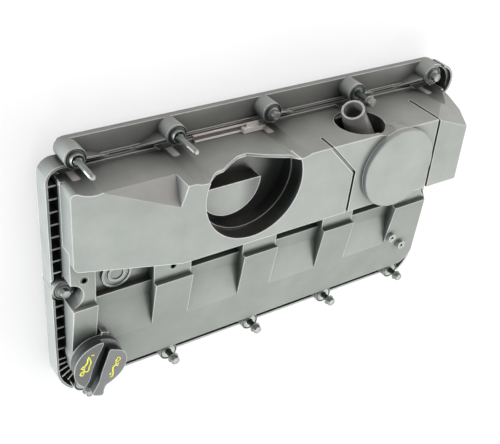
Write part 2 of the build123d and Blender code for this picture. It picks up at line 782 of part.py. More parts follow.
pipe_bore_r = pipe_r - pipe_wall
with BuildPart() as breather_pipe:
    add(root_ring(pipe_r + pipe_foot, 0, 4))
    add(bent_tube(pipe_elbow_r, pipe_r))
    add(root_ring(pipe_r + 6, -20, 0), mode=Mode.SUBTRACT)
    # groove for the seal on the face of the foot
    add(root_ring(pipe_r + seal_half_w, -1, seal_t + fit_gap), mode=Mode.SUBTRACT)
    add(root_ring(pipe_r - seal_half_w, 0, seal_t + fit_gap))
    add(bent_tube(pipe_bore_r, pipe_bore_r), mode=Mode.SUBTRACT)
    with BuildSketch(Plane(origin=pipe_bend, z_dir=pipe_mouth_axis)):
        Circle(pipe_bore_r)
    extrude(amount=pipe_mouth_length + 1, mode=Mode.SUBTRACT)
    add(root_ring(pipe_bore_r, -1, 3), mode=Mode.SUBTRACT)
breather_pipe.part.label = "breather_pipe"

with BuildPart() as breather_seal:
    add(root_ring(pipe_r + seal_half_w - press_gap, 0, seal_t))
    add(root_ring(pipe_r - seal_half_w + press_gap, -1, seal_t + 1), mode=Mode.SUBTRACT)
breather_seal.part.label = "breather_seal"

# ---------------------------------------------------------------- filler cap
with BuildPart() as filler_cap:
    add(upright([(cap_x, cap_y)], cap_r, cap_skirt_z, cap_disc_z))
    add(upright([(cap_x, cap_y)], cap_r - 2.2, cap_skirt_z - 1, cap_disc_z - cap_disc_t),
        mode=Mode.SUBTRACT)
    add(upright([(cap_x, cap_y)], neck_bore_r - fit_gap, lug_low_z - 1, cap_disc_z))
    with BuildSketch(cap_plane(lug_low_z)):
        Circle(neck_groove_r - 0.4)
        Rectangle(60, 2 * lug_half_w, mode=Mode.INTERSECT)
    extrude(amount=lug_top_z - lug_low_z)
    # two pads of the grip with a valley between them
    with BuildSketch(cap_plane(cap_disc_z)):
        Circle(cap_r - 3)
        with Locations((0, grip_gap_low + 25)):
            Rectangle(80, 50, mode=Mode.SUBTRACT)
    extrude(amount=cap_grip_z - cap_disc_z)
    with BuildSketch(cap_plane(cap_disc_z)):
        Circle(cap_r)
        with Locations((25.0 - 16.0, 25 + grip_gap_high)):
            Rectangle(50, 50, mode=Mode.INTERSECT)
        with Locations((24, grip_gap_high + 6)):
            RectangleRounded(19, 12, 4)
    extrude(amount=cap_grip_z - cap_disc_z)
    with BuildSketch(Plane(origin=cap_plane(cap_disc_z).origin, x_dir=cap_plane(0).y_dir,
                           z_dir=cap_plane(0).x_dir)):
        with BuildLine():
            Polyline((grip_gap_low, 0), (grip_gap_high, 0), (grip_gap_high + 3.5, 8),
                     (grip_gap_low - 3.5, 8), close=True)
        make_face()
    extrude(amount=40, both=True, mode=Mode.SUBTRACT)
filler_cap.part.label = "filler_cap"

with BuildPart() as filler_cap_seal:
    add(upright([(cap_x, cap_y)], neck_r - 1, neck_top_z, cap_disc_z - cap_disc_t))
    add(upright([(cap_x, cap_y)], neck_bore_r + 0.4, neck_top_z - 1, cap_disc_z),
        mode=Mode.SUBTRACT)
filler_cap_seal.part.label = "filler_cap_seal"

# ---------------------------------------------------------------- gasket
with BuildPart() as gasket:
    with BuildSketch():
        with Locations(opening_centre):
            RectangleRounded(*gasket_size(press_gap), gasket_corner_r - press_gap)
            RectangleRounded(*gasket_size(gasket_w - press_gap),
                             gasket_corner_r - gasket_w + press_gap, mode=Mode.SUBTRACT)
    extrude(amount=gasket_depth - fit_gap)
gasket.part.label = "gasket"


# ---------------------------------------------------------------- fasteners
def bolt(place, seat, lift, stud_top):
    """A captive bolt pushed up by lift, with a stud on its head up to stud_top if given."""
    x, y = place
    z = seat + washer_t + lift
    with BuildPart() as piece:
        add(upright([place], shank_r, -shank_below + lift, z))
        add(upright([place], head_flange_r, z, z + head_flange_t))
        with BuildSketch(Plane.XY.offset(z)):
            with Locations(place):
                RegularPolygon(head_af / 2, 6, major_radius=False)
        extrude(amount=head_h + head_flange_t)
        if stud_top:
            add(upright([place], stud_r, z, stud_top))
    return piece.part


bolt_list = []
for number, place in enumerate(lower_bolts, start=1):
    bolt_list.append((f"lower_bolt_{number}", place, seat_lower_z, row_lift, None))
for number, place in enumerate(upper_bolts, start=1):
    if number <= 2:
        bolt_list.append((f"upper_stud_{number}", place, seat_upper_z, 0, stud_z))
    else:
        lift = free_lift if number == 4 else 0
        bolt_list.append((f"upper_bolt_{number}", place, seat_upper_z, lift, None))
bolt_list.append(("left_bolt", end_bolts[0], seat_upper_z, 0, None))
bolt_list.append(("right_bolt", end_bolts[1], seat_upper_z, 0, None))

bolt_parts = []
for name, place, seat, lift, stud_top in bolt_list:
    piece = bolt(place, seat, lift, stud_top)
    piece.label = name
    bolt_parts.append(piece)

with BuildPart() as washers:
    add(upright(lower_bolts, washer_r, seat_lower_z, seat_lower_z + washer_t))
    add(upright(upper_seats, washer_r, seat_upper_z, seat_upper_z + washer_t))
    add(upright(all_bolts, shank_r + 0.4, 0, 40), mode=Mode.SUBTRACT)
washers.part.label = "washers"

with BuildPart() as grommets:
    add(upright(lower_bolts, grommet_r, 1, seat_lower_z))
    add(upright(upper_seats, grommet_r, 1, seat_upper_z))
    add(upright(all_bolts, sleeve_r + press_gap, 0, 40), mode=Mode.SUBTRACT)
grommets.part.label = "grommets"

with BuildPart() as sleeves:
    add(upright(lower_bolts, sleeve_r, 0, seat_lower_z))
    add(upright(upper_seats, sleeve_r, 0, seat_upper_z))
    add(upright(all_bolts, shank_r + bolt_clearance, -1, 40), mode=Mode.SUBTRACT)
sleeves.part.label = "sleeves"

with BuildPart() as threaded_inserts:
    add(upright(insert_places, insert_r, terrace_z - insert_length, terrace_z + 0.4))
    add(upright(insert_places, insert_bore_r, terrace_z - insert_length - 1, terrace_z + 2),
        mode=Mode.SUBTRACT)
threaded_inserts.part.label = "threaded_inserts"

with BuildPart() as blanking_plug:
    add(upright([plug_place], plug_stem_r, deck_z - wall, deck_z))
    plug_top_z = deck_z + plug_t
    for ring_r in (plug_r, plug_r - 3 * plug_ring_w):
        add(upright([plug_place], ring_r, deck_z, plug_top_z))
        add(upright([plug_place], ring_r - plug_ring_w, plug_top_z - plug_recess, plug_top_z + 1),
            mode=Mode.SUBTRACT)
blanking_plug.part.label = "blanking_plug"

clip_low_y = dome_high_y + fit_gap
clip_high_y = foot_y + fit_gap
clip_rail = [
    (clip_low_y, dome_foot_z), (clip_high_y, dome_foot_z), (clip_high_y, clip_hem_z),
    (clip_high_y + clip_t, clip_hem_z), (clip_high_y + clip_t, dome_foot_z + clip_t),
    (clip_low_y + clip_t, dome_foot_z + clip_t), (clip_low_y + clip_t, clip_lip_z),
    (clip_low_y, clip_lip_z),
]
with BuildPart() as harness_clip:
    add(across(clip_rail, clip_from_x, clip_to_x))
    add(plate(clip_to_x - 26, clip_to_x - 5, clip_low_y, clip_high_y + 1, clip_lip_z - clip_t,
              clip_lip_z + 4))
    add(plate(clip_to_x - 22, clip_to_x - 9, clip_low_y + clip_t, clip_high_y + 5,
              clip_lip_z, clip_lip_z + 2))
harness_clip.part.label = "harness_clip"

# ---------------------------------------------------------------- files
finished = [
    cover_body.part, separator_cover.part, separator_baffle.part, pcv_cover.part,
    pcv_diaphragm.part, pcv_valve_plate.part, pcv_spring.part, breather_pipe.part,
    breather_seal.part, filler_cap.part, filler_cap_seal.part, gasket.part, washers.part,
    grommets.part, sleeves.part, threaded_inserts.part, blanking_plug.part,
    harness_clip.part,
]
os.makedirs("parts", exist_ok=True)
for piece in finished + bolt_parts:
    export_step(piece, f"parts/{piece.label}.step")
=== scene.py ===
"""Looks of the moulded engine valve cover: materials, threads, marks, camera and light."""
import json
import math

import bpy
import bmesh
from mathutils import Matrix, Vector


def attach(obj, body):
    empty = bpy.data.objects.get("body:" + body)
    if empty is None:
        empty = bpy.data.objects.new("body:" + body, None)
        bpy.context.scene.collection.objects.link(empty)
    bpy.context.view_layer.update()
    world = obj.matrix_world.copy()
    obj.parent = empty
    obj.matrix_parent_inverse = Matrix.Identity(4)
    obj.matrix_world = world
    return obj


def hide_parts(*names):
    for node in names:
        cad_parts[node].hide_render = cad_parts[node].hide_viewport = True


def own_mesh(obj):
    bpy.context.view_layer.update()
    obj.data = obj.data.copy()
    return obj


MM = 0.001

# ---------------------------------------------------------------- view and floor
CAMERA_PLACE = (-424.7, 482.2, 591.3)
CAMERA_RIGHT = (0.836709, 0.075262, 0.542451)
CAMERA_DOWN = (-0.252607, -0.825808, 0.504213)
LENS_MM = 63.0
SENSOR_MM = 36.0
NEAR_CLIP_M = 0.01

FLOOR_Z = -12.5
FLOOR_COLOUR = (0.90, 0.90, 0.91)
FLOOR_GLOW = 0.72
COVE_SIDES = 64
# height and radius of the round cove in metres, from its middle outwards
COVE_PROFILE = [(0.0, 0.01), (0.0, 4.6), (0.08, 5.1), (0.35, 5.4), (0.9, 5.5), (3.6, 5.5)]

WORLD_COLOUR = (0.94, 0.97, 1.0)
WORLD_STRENGTH = 0.14
# name, place, target, size, power, colour
LAMPS = [
    ("key panel", (0.95, -1.15, 1.55), (0, 0, 0), (1.7, 1.1), 32.0, (0.98, 1.0, 0.97)),
    ("slope panel", (-0.5, -1.1, 1.6), (0, 0, 0), (0.6, 0.8), 10.0, (0.98, 1.0, 0.97)),
    ("top panel", (0.2, 0.6, 1.9), (0, 0, 0), (1.4, 0.8), 7.5, (1.0, 0.97, 0.97)),
    ("left panel", (-1.9, -0.1, 0.085), (0, 0, 0.02), (1.4, 0.17), 63.0, (0.94, 0.94, 1.0)),
    ("back panel", (0.8, 1.5, 0.9), (0, 0, 0.03), (1.6, 0.8), 19.0, (1.0, 0.86, 0.87)),
    ("right panel", (1.7, 0.1, 0.8), (0.1, 0, 0.03), (1.0, 0.8), 9.0, (1.0, 1.0, 1.0)),
]

# ---------------------------------------------------------------- fasteners
# places in the gasket plane
BOLT_PITCH = 98.0
LOWER_Y = -124.6
UPPER_Y = 124.6
ROW_X = (-190.0, -BOLT_PITCH, 0.0, BOLT_PITCH, 2 * BOLT_PITCH)
LEFT_PLACE = (-206.5, -3.0)
RIGHT_PLACE = (213.0, -3.0)
LOWER_SEATS = [(x, LOWER_Y) for x in ROW_X]
UPPER_SEATS = [(x, UPPER_Y) for x in ROW_X] + [LEFT_PLACE, RIGHT_PLACE]

# heights of the seats, and of the bolts that hang lifted at rest
LOWER_SEAT_Z = 18.5
UPPER_SEAT_Z = 22.5
WASHER_T = 1.5
HEAD_GAP = 0.03
ROW_LIFT = 9.5
FREE_LIFT = 17.0

SHANK_BELOW = 11.0
SHANK_R = 2.98
SHANK_ROOT_R = 2.60
SHANK_TIP_R = 1.90
TIP_CHAMFER = 0.8
THREAD_START = 1.0
UNDER_HEAD = 0.1
THREAD_LENGTH = 13.0
THREAD_PITCH = 1.0
THREAD_STEPS = 6
RUN_OUT_STEPS = 5
STUD_TOP_Z = 57.0
STUD_R = 2.65
STUD_ROOT_R = 2.36
STUD_TIP_R = 1.76
STUD_THREAD = 13.0
STUD_CHAMFER = 0.9
HEX_HALF = 4.0
STUD_HEX_HALF = 3.8
HEX_TURN = math.radians(12)
HEAD_FLANGE_R = 5.6
SIDES = 48

# washer profile as radius and height; its groove faces are black, and its dish faces are painted
# dark as shade on the washers out of the light
WASHER_PROFILE = [(3.4, 0.0), (9.3, 0.0), (9.5, 0.2), (9.5, 1.3), (9.3, 1.5), (8.9, 1.5),
                  (8.7, 1.2), (8.6, 0.6), (8.0, 0.6), (7.8, 1.1), (7.5, 1.3), (6.9, 1.3),
                  (6.3, 1.2), (5.9, 1.5), (3.6, 1.5), (3.4, 1.3)]
GROOVE_FACES = (6, 7, 8)
DISH_FACES = (9, 10, 11, 12)

# ---------------------------------------------------------------- valve spring
SPRING_PLACE = (115.0, 67.0)
SPRING_LOW_Z = 60.85
SPRING_HIGH_Z = 70.15
SPRING_R = 9.5
SPRING_WIRE_R = 0.8
SPRING_TURNS = 4
SPRING_STEPS = 40
WIRE_SIDES = 10

# ---------------------------------------------------------------- filler cap
CAP_CENTRE = (-185.3, -77.3)
CAP_TURN = math.radians(15.4)
ALONG = (-math.sin(CAP_TURN), -math.cos(CAP_TURN))
ACROSS = (math.cos(CAP_TURN), -math.sin(CAP_TURN))
CAP_GRIP_Z = 52.0
CAP_DISC_Z = 45.0
CAP_SKIRT_Z = 38.5
CAP_ROOF_Z = 43.0
CAP_R = 24.4
CAP_WALL = 2.2
CAP_PLUG_R = 15.7
CAP_AXIS_R = 0.3
CAP_SIDES = 96
LUG_R = 18.0
PLUG_LOW_Z = 27.0
LUG_LOW_Z = 27.3
LUG_TOP_Z = 31.0
LUG_HALF_ANGLE = 19
LUG_STEPS = 8
PAD_DRAFT = 0.93
PAD_ROOT = 1.0
TONGUE_LOW_Z = 40.5
TONGUE_TOP_Z = 44.95
LOOP_STEPS = 6
SAME_POINT = 1e-6
STROKE_MM = 1.7
STROKE_SUNK = 0.22

# height and radius of the turned body
CAP_PROFILE = [(PLUG_LOW_Z, CAP_AXIS_R), (PLUG_LOW_Z, CAP_PLUG_R - 1.0),
               (PLUG_LOW_Z + 1.0, CAP_PLUG_R), (CAP_ROOF_Z, CAP_PLUG_R),
               (CAP_ROOF_Z, CAP_R - CAP_WALL), (CAP_SKIRT_Z, CAP_R - CAP_WALL),
               (CAP_SKIRT_Z, CAP_R), (CAP_DISC_Z - 0.7, CAP_R),
               (CAP_DISC_Z - 0.2, CAP_R - 0.2), (CAP_DISC_Z, CAP_R - 0.7),
               (CAP_DISC_Z, CAP_AXIS_R)]
# outlines along and across the grip; a point given twice is a corner
LEFT_PAD = [(-25.8, -4.8), (-21.6, -3.9), (-14.0, -5.6), (-7.0, -6.8), (3.6, -8.0), (16.0, -7.9),
            (24.2, -11.1), (24.2, -11.1), (18.4, -19.0), (9.4, -24.8), (-2.5, -26.4),
            (-10.8, -24.2), (-18.2, -19.2), (-24.0, -11.0)]
RIGHT_PAD = [(-16.0, 4.6), (-5.4, 3.7), (8.9, 2.7), (17.8, 3.0), (26.5, 1.6), (34.2, -0.9),
             (34.2, -0.9), (36.0, 4.0), (36.3, 9.4), (34.6, 10.8), (28.6, 10.4), (24.2, 11.6),
             (21.0, 15.4), (15.5, 20.6), (8.0, 24.6), (0.0, 25.8), (-7.4, 24.4), (-12.8, 20.4),
             (-15.2, 15.4), (-16.2, 9.8)]
TONGUE = [(14.0, -13.5), (22.0, -13.0), (27.2, -9.6), (33.6, -5.6), (36.4, -2.0), (36.4, 9.4),
          (34.6, 10.8), (26.0, 10.8), (14.0, 12.0)]
# printed signs: an oil can and a turn arrow, as closed or open lines
CAN_LINES = [
    (False, [(-12.8, -13.4), (-13.1, -10.6)]),
    (True, [(-11.8, -15.6), (-8.8, -15.8), (-4.5, -15.3), (-2.1, -16.7), (0, -17.1),
            (4.7, -16.2), (5.2, -13.0), (3.6, -12.1), (-0.1, -12.4), (-2.3, -12.1),
            (-5.0, -11.8), (-8.5, -13.6)]),
    (True, [(0, -17.1), (-1.2, -18.9), (1.1, -19.7), (2.2, -17.0)]),
    (False, [(4.7, -16.2), (8.8, -16.3), (9.2, -17.8), (7.8, -19.5), (5.6, -18.6),
             (4.3, -17.0)]),
]
TURN_LINES = [
    (True, [(-7.4, 15.5), (-5.1, 18.2), (-1.8, 16.2), (-3.3, 13.8)]),
    (False, [(-1.6, 14.6), (1.6, 15.1), (-0.2, 17.6), (3.1, 17.4), (1.5, 14.8)]),
    (False, [(1.5, 14.8), (3.9, 13.1), (7.1, 13.4), (11.8, 15.0), (14.9, 14.7), (15.3, 13.0)]),
    (False, [(10.2, 12.3), (12.6, 12.0)]),
]

# ---------------------------------------------------------------- surfaces
# plastic and steel: flow mottling, patches of gloss and the strength of the grain
MOTTLE_SCALE = 26.0
MOTTLE_ROUGHNESS = 0.55
SPECKLE_SCALE = 900.0
NOISE_RANGE = (0.3, 0.7)
GLOSS_SPREAD = (-0.05, 0.06)
DULL_SPREAD = (-0.08, 0.15)
GRAIN_STRENGTH = 0.35

# painted shade in recesses and painted highlight on convex edges, by how close the material is
AO_SAMPLES = 8
# colour of all painted shade on the plastics
SHADE_COLOUR = (0.010, 0.013, 0.011)
RECESS_SHADE_MM = 42.0
RECESS_SHADE_RANGE = (0.34, 1.0)
LEFT_RIM_X = -214.0
EDGE_HIGHLIGHT_MM = 1.1
EDGE_HIGHLIGHT_RANGE = (0.60, 0.90)
EDGE_HIGHLIGHT_MOST = 0.52

# painted shade in the round pocket
POCKET_CENTRE = (-48.0, 86.0)
POCKET_R = 50.0
POCKET_FAR_Y = 104.0
POCKET_LOW_Z = 44.0
POCKET_TOP_Z = 74.2
PLATEAU_Z = 60.0
PLATEAU_BAND = 0.5
PLATEAU_FADE = (-57.0, -38.0)
POCKET_SHADE_MOST = 0.92

# painted shade on the cap, along and across its grip
CAP_SHADE_ALONG = (-26.0, 26.0)
CAP_SHADE_FADE = (1.0, 0.35)
CAP_SHADE_ACROSS = (-2.0, -3.0)
PAD_TOP_BAND = 0.6
LEFT_PAD_SHADE = 0.72
CAP_SHADE_MOST = 0.88

# painted shade in the groove along the clip
CLIP_GROOVE_Z = 13.2
GROOVE_BAND = 0.3
GROOVE_SHADE_MOST = 0.85

# rounding of the sharp edges of the CAD nodes
EDGE_WIDTH = {"cover_body": 0.8, "separator_cover": 1.3, "breather_pipe": 0.5,
              "threaded_inserts": 0.2, "blanking_plug": 0.4, "harness_clip": 0.3}
EDGE_SEGMENTS = 3
EDGE_ANGLE = math.radians(32)
WELD_MM = 0.002
SMOOTH_ANGLE = math.radians(35)


def vec(x, y, z):
    """A point given in millimetres."""
    return Vector((x, y, z)) * MM


# ---------------------------------------------------------------- shader helpers
def new_material(name):
    """A material, its nodes and links, and its principled shader."""
    material = bpy.data.materials.new(name)
    material.use_nodes = True
    nodes = material.node_tree.nodes
    return material, nodes, material.node_tree.links, nodes["Principled BSDF"]


def node(nodes, kind, **values):
    """A shader node with its properties and sockets set."""
    made = nodes.new(kind)
    for key, value in values.items():
        if key in made.inputs:
            made.inputs[key].default_value = value
        else:
            setattr(made, key, value)
    return made


def maths(nodes, links, operation, *values):
    """Result of a maths node whose values are numbers or sockets."""
    made = node(nodes, "ShaderNodeMath", operation=operation)
    for slot, value in enumerate(values):
        if isinstance(value, (int, float)):
            made.inputs[slot].default_value = value
        else:
            links.new(value, made.inputs[slot])
    return made.outputs["Value"]


def ramp(nodes, links, value, start, end, to=(0.0, 1.0), kind="LINEAR"):
    """Value stretched from the range start to end onto another, and held at its ends."""
    made = node(nodes, "ShaderNodeMapRange", interpolation_type=kind)
    made.inputs["From Min"].default_value = start
    made.inputs["From Max"].default_value = end
    made.inputs["To Min"].default_value = to[0]
    made.inputs["To Max"].default_value = to[1]
    links.new(value, made.inputs["Value"])
    return made.outputs["Result"]


def split(nodes, links, place):
    """The three parts of a place."""
    apart = node(nodes, "ShaderNodeSeparateXYZ")
    links.new(place, apart.inputs["Vector"])
    return apart.outputs["X"], apart.outputs["Y"], apart.outputs["Z"]


def noise(nodes, links, place, scale, detail, roughness=0.5):
    """Share of a noise texture."""
    made = node(nodes, "ShaderNodeTexNoise", Scale=scale, Detail=detail, Roughness=roughness)
    links.new(place, made.inputs["Vector"])
    return made.outputs["Fac"]


def roughen(nodes, links, shader, height, strength, depth_mm):
    """Bump the shader's surface by a height."""
    bump = node(nodes, "ShaderNodeBump", Strength=strength, Distance=depth_mm * MM)
    links.new(height, bump.inputs["Height"])
    links.new(bump.outputs["Normal"], shader.inputs["Normal"])


def nearness(nodes, links, distance_mm, inside, low, high):
    """Share from 0 to 1 that grows as the material closes in, on one side of the surface."""
    probe = node(nodes, "ShaderNodeAmbientOcclusion", samples=AO_SAMPLES, inside=inside,
                 only_local=inside, Distance=distance_mm * MM)
    return ramp(nodes, links, probe.outputs["AO"], high, low)


def blended(nodes, links, share, first, second, most=1.0):
    """Colour socket that goes from the first colour to the second by a share."""
    mix = node(nodes, "ShaderNodeMix", data_type="RGBA")
    links.new(maths(nodes, links, "MULTIPLY", share, most), mix.inputs["Factor"])
    for name, colour in (("A", first), ("B", second)):
        if isinstance(colour, tuple):
            mix.inputs[name].default_value = (*colour, 1)
        else:
            links.new(colour, mix.inputs[name])
    return mix.outputs["Result"]


# ---------------------------------------------------------------- stains
def pocket_shade(nodes, links, place):
    """Share of painted shade inside the round pocket, all but the left of its plateau."""
    x, y, z = split(nodes, links, place)
    flat = node(nodes, "ShaderNodeCombineXYZ")
    links.new(x, flat.inputs["X"])
    links.new(y, flat.inputs["Y"])
    reach = node(nodes, "ShaderNodeVectorMath", operation="DISTANCE")
    links.new(flat.outputs["Vector"], reach.inputs[0])
    reach.inputs[1].default_value = vec(*POCKET_CENTRE, 0)
    level = maths(nodes, links, "COMPARE", z, PLATEAU_Z * MM, PLATEAU_BAND * MM)
    off_level = maths(nodes, links, "SUBTRACT", 1.0, level)
    fade = ramp(nodes, links, x, PLATEAU_FADE[0] * MM, PLATEAU_FADE[1] * MM, kind="SMOOTHSTEP")
    share = maths(nodes, links, "MAXIMUM", fade, off_level)
    limits = (("LESS_THAN", reach.outputs["Value"], POCKET_R), ("LESS_THAN", z, POCKET_TOP_Z),
              ("GREATER_THAN", z, POCKET_LOW_Z), ("LESS_THAN", y, POCKET_FAR_Y))
    for operation, value, limit in limits:
        within = maths(nodes, links, operation, value, limit * MM)
        share = maths(nodes, links, "MULTIPLY", share, within)
    return share


def cap_shade(nodes, links, place):
    """Share of painted shade on the cap's left pad and below the tops of its pads."""
    shares = []
    for axis, limits, to in ((ALONG, CAP_SHADE_ALONG, CAP_SHADE_FADE), (ACROSS, CAP_SHADE_ACROSS, (0, 1))):
        dot = node(nodes, "ShaderNodeVectorMath", operation="DOT_PRODUCT")
        links.new(place, dot.inputs[0])
        dot.inputs[1].default_value = (*axis, 0)
        middle = CAP_CENTRE[0] * axis[0] + CAP_CENTRE[1] * axis[1]
        start, end = ((middle + limit) * MM for limit in limits)
        shares.append(ramp(nodes, links, dot.outputs["Value"], start, end, to))
    along, across = shares
    height = split(nodes, links, place)[2]
    below = maths(nodes, links, "LESS_THAN", height, (CAP_GRIP_Z - PAD_TOP_BAND) * MM)
    left_pad = maths(nodes, links, "MULTIPLY", across, LEFT_PAD_SHADE)
    either = maths(nodes, links, "MAXIMUM", left_pad, below)
    return maths(nodes, links, "MULTIPLY", either, along)


# ---------------------------------------------------------------- materials
def moulded_plastic(name, dark, light, roughness, grain_mm, grain_depth, edge_highlight=None, recess_shade_most=0.8,
                    shade_mask=None, shaded_groove_z=None):
    """Moulded plastic with a fine grain, flow mottling, painted highlight on its edges and
    painted shade in its recesses.
    """
    material, nodes, links, shader = new_material(name)
    place = node(nodes, "ShaderNodeTexCoord").outputs["Object"]
    mottle = noise(nodes, links, place, MOTTLE_SCALE, detail=4.0,
                   roughness=MOTTLE_ROUGHNESS)
    tint = blended(nodes, links, ramp(nodes, links, mottle, *NOISE_RANGE), dark, light)
    x, _, z = split(nodes, links, place)
    # painted shade: darker where other surfaces come close, in recesses, corners and under
    # overhangs
    recess_shade = nearness(nodes, links, RECESS_SHADE_MM, False, *RECESS_SHADE_RANGE)
    # no painted shade on the outer face of the left rim
    off_rim = maths(nodes, links, "GREATER_THAN", x, LEFT_RIM_X * MM)
    recess_shade = maths(nodes, links, "MULTIPLY", off_rim, recess_shade)
    tint = blended(nodes, links, recess_shade, tint, SHADE_COLOUR, recess_shade_most)
    # painted shade from a mask: in the round pocket, or on the cap
    if shade_mask:
        mask, most = shade_mask
        tint = blended(nodes, links, mask(nodes, links, place), tint, SHADE_COLOUR, most)
    # painted shade on a thin band at the height of the clip's groove
    if shaded_groove_z:
        groove = maths(nodes, links, "COMPARE", z, shaded_groove_z * MM, GROOVE_BAND * MM)
        tint = blended(nodes, links, groove, tint, SHADE_COLOUR, GROOVE_SHADE_MOST)
    if edge_highlight:
        # painted highlight: a pale colour along convex edges, where they catch the light
        convex_edge = nearness(nodes, links, EDGE_HIGHLIGHT_MM, True, *EDGE_HIGHLIGHT_RANGE)
        tint = blended(nodes, links, convex_edge, tint, edge_highlight, EDGE_HIGHLIGHT_MOST)
    links.new(tint, shader.inputs["Base Color"])
    speckle = noise(nodes, links, place, SPECKLE_SCALE, detail=1.0)
    gloss = ramp(nodes, links, speckle, *NOISE_RANGE,
                 to=(roughness + GLOSS_SPREAD[0], roughness + GLOSS_SPREAD[1]))
    links.new(gloss, shader.inputs["Roughness"])
    grain = noise(nodes, links, place, 1 / (grain_mm * MM), detail=2.0)
    roughen(nodes, links, shader, grain, GRAIN_STRENGTH, grain_depth)
    return material


def flecked(name, colour, other, scale, detail):
    """A material between a colour and a share of it; its nodes, links, shader and noise."""
    material, nodes, links, shader = new_material(name)
    place = node(nodes, "ShaderNodeTexCoord").outputs["Object"]
    fleck = noise(nodes, links, place, scale, detail)
    tint = blended(nodes, links, fleck, colour, tuple(part * other for part in colour))
    links.new(tint, shader.inputs["Base Color"])
    return material, nodes, links, shader, fleck


def plated_steel(name, colour, roughness):
    """Zinc-plated steel with dull patches."""
    material, nodes, links, shader, patch = flecked(
        name, colour, other=0.72, scale=220.0, detail=3.0)
    dull = ramp(nodes, links, patch, 0.0, 1.0,
                to=(roughness + DULL_SPREAD[0], roughness + DULL_SPREAD[1]))
    links.new(dull, shader.inputs["Roughness"])
    roughen(nodes, links, shader, patch, strength=0.2, depth_mm=0.05)
    shader.inputs["Metallic"].default_value = 1.0
    return material


def soft_rubber(name, colour):
    """Dull rubber with a faint bloom."""
    material, nodes, links, shader, bloom = flecked(
        name, colour, other=1.7, scale=320.0, detail=3.0)
    roughen(nodes, links, shader, bloom, strength=0.25, depth_mm=0.06)
    shader.inputs["Roughness"].default_value = 0.75
    return material


def print_ink(name, colour):
    """Pad-printed ink with a little wear."""
    material, _, _, shader, _ = flecked(name, colour, other=0.8, scale=900.0, detail=2.0)
    shader.inputs["Roughness"].default_value = 0.5
    return material


BODY_PLASTIC = moulded_plastic(
    "cover plastic", (0.200, 0.218, 0.200), (0.250, 0.270, 0.248), roughness=0.36,
    grain_mm=0.55, grain_depth=0.12, edge_highlight=(0.92, 0.95, 0.92), recess_shade_most=0.85,
    shade_mask=(pocket_shade, POCKET_SHADE_MOST))
BLACK_PLASTIC = moulded_plastic(
    "black plastic", (0.016, 0.017, 0.017), (0.028, 0.029, 0.028), roughness=0.40,
    grain_mm=0.5, grain_depth=0.10)
CLIP_PLASTIC = moulded_plastic(
    "clip plastic", (0.54, 0.52, 0.49), (0.62, 0.60, 0.57), roughness=0.42,
    grain_mm=0.5, grain_depth=0.10, recess_shade_most=0.0, shaded_groove_z=CLIP_GROOVE_Z)
PIPE_PLASTIC = moulded_plastic(
    "pipe plastic", (0.200, 0.205, 0.195), (0.250, 0.255, 0.240), roughness=0.32,
    grain_mm=0.55, grain_depth=0.10, edge_highlight=(0.80, 0.82, 0.80), recess_shade_most=0.25)
CAP_PLASTIC = moulded_plastic(
    "cap plastic", (0.080, 0.088, 0.088), (0.125, 0.133, 0.133), roughness=0.40,
    grain_mm=0.45, grain_depth=0.12, edge_highlight=(0.62, 0.68, 0.65), recess_shade_most=0.9,
    shade_mask=(cap_shade, CAP_SHADE_MOST))
STEEL = plated_steel("plated steel", (0.27, 0.285, 0.27), roughness=0.44)
DARK_STEEL = plated_steel("dark steel", (0.10, 0.12, 0.11), roughness=0.40)
RUBBER = soft_rubber("rubber", (0.014, 0.014, 0.015))
INK = print_ink("yellow ink", (0.86, 0.84, 0.07))

SLOT_MATERIALS = {
    "cover_plastic": BODY_PLASTIC,
    "black_plastic": BLACK_PLASTIC,
    "cap_plastic": CAP_PLASTIC,
    "rubber": RUBBER,
    "steel": STEEL,
    "dark_steel": DARK_STEEL,
}
# nodes that look unlike their slot
NODE_MATERIALS = {
    "breather_pipe": PIPE_PLASTIC,
    "blanking_plug": BODY_PLASTIC,
    "harness_clip": CLIP_PLASTIC,
}


# ---------------------------------------------------------------- CAD nodes
def soften_edges(piece, width_mm):
    """Round the sharp edges of a CAD node by modifiers, so that they catch the light."""
    weld = piece.modifiers.new("weld", "WELD")
    weld.merge_threshold = WELD_MM * MM
    bevel = piece.modifiers.new("bevel", "BEVEL")
    bevel.width = width_mm * MM
    bevel.segments = EDGE_SEGMENTS
    bevel.limit_method = "ANGLE"
    bevel.angle_limit = EDGE_ANGLE
    bevel.use_clamp_overlap = True
    bevel.harden_normals = True
    bevel.miter_outer = "MITER_ARC"


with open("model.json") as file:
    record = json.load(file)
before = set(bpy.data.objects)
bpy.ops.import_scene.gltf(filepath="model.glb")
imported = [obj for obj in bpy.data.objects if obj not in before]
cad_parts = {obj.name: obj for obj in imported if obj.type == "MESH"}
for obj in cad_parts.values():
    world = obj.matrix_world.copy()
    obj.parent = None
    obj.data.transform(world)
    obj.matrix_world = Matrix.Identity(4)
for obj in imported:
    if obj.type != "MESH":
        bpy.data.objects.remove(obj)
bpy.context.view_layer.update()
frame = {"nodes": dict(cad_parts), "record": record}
node_slots = {part["node"]: part["material_slot"] for part in frame["record"]["subparts"]}
for name, piece in frame["nodes"].items():
    piece.data.materials.clear()
    piece.data.materials.append(NODE_MATERIALS.get(name, SLOT_MATERIALS[node_slots[name]]))
    if name in EDGE_WIDTH:
        soften_edges(piece, EDGE_WIDTH[name])


# ---------------------------------------------------------------- mesh helpers
def linked(name, data):
    """A new object in the scene."""
    made = bpy.data.objects.new(name, data)
    bpy.context.scene.collection.objects.link(made)
    return made


